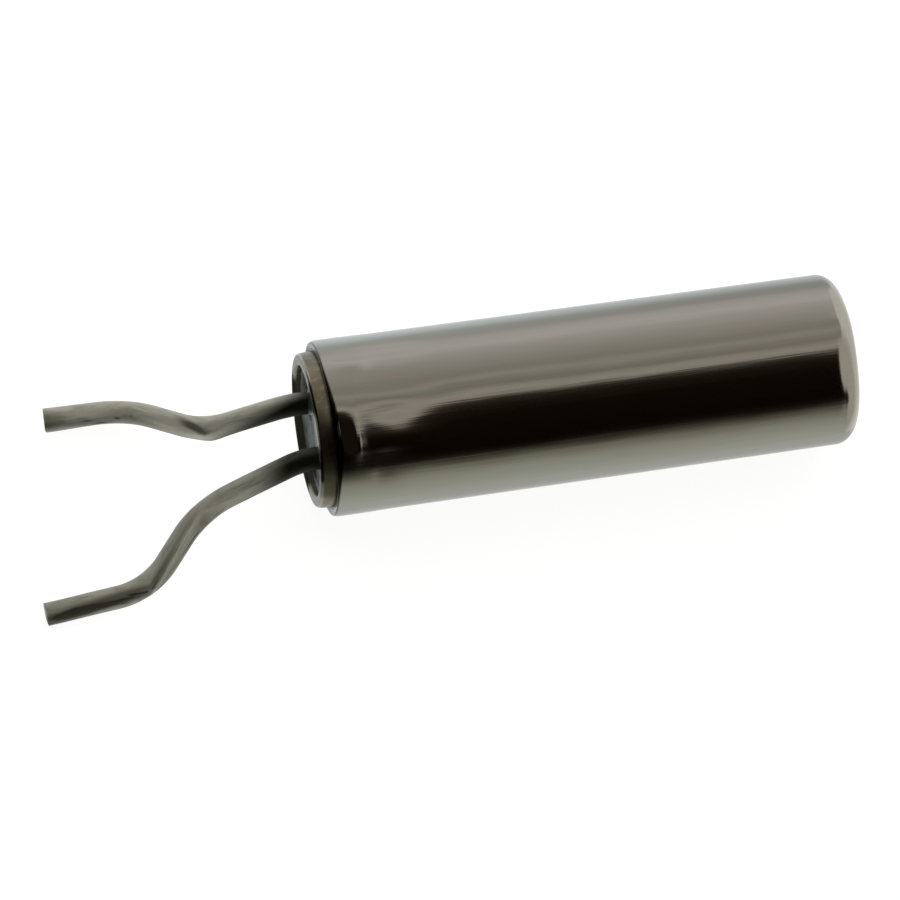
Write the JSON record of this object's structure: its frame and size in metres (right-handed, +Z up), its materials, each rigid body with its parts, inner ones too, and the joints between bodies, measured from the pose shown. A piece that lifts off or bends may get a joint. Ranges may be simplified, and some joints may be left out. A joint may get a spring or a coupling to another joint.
{
  "type": "tuning-fork quartz crystal unit",
  "caption": "Small cylindrical metal can with a glass-sealed header and two tinned wire leads formed down and outwards to lie on a circuit board.",
  "frame": {"origin": "on the board under the middle of the whole part, half way between the closed end and the longer lead's toe, and between the two toes", "axes": "+X along the can towards its closed end, +Y from the right lead to the left lead, +Z up from the board"},
  "size_m": [0.0094, 0.003, 0.002],
  "materials": {
    "can_metal": "bright drawn nickel silver",
    "ring_metal": "satin nickel-iron alloy, slightly browned",
    "seal_tin": "soft matt tin plating",
    "seal_glass": "dark fused sealing glass",
    "tinned_wire": "dull tinned wire, mottled",
    "quartz": "lapped clear quartz",
    "electrode_film": "thin gold film",
    "weight_film": "thick gold film with trimming marks",
    "solder": "reflowed solder"
  },
  "bodies": {
    "root": {"can": "can_metal", "header_ring": "ring_metal", "seal_plating": "seal_tin", "glass_seal": "seal_glass", "lead_left": "tinned_wire", "lead_right": "tinned_wire", "quartz_fork": "quartz", "electrode_left": "electrode_film", "electrode_right": "electrode_film", "tip_weight_left": "weight_film", "tip_weight_right": "weight_film", "solder_left": "solder", "solder_right": "solder"}
  },
  "joints": []
}
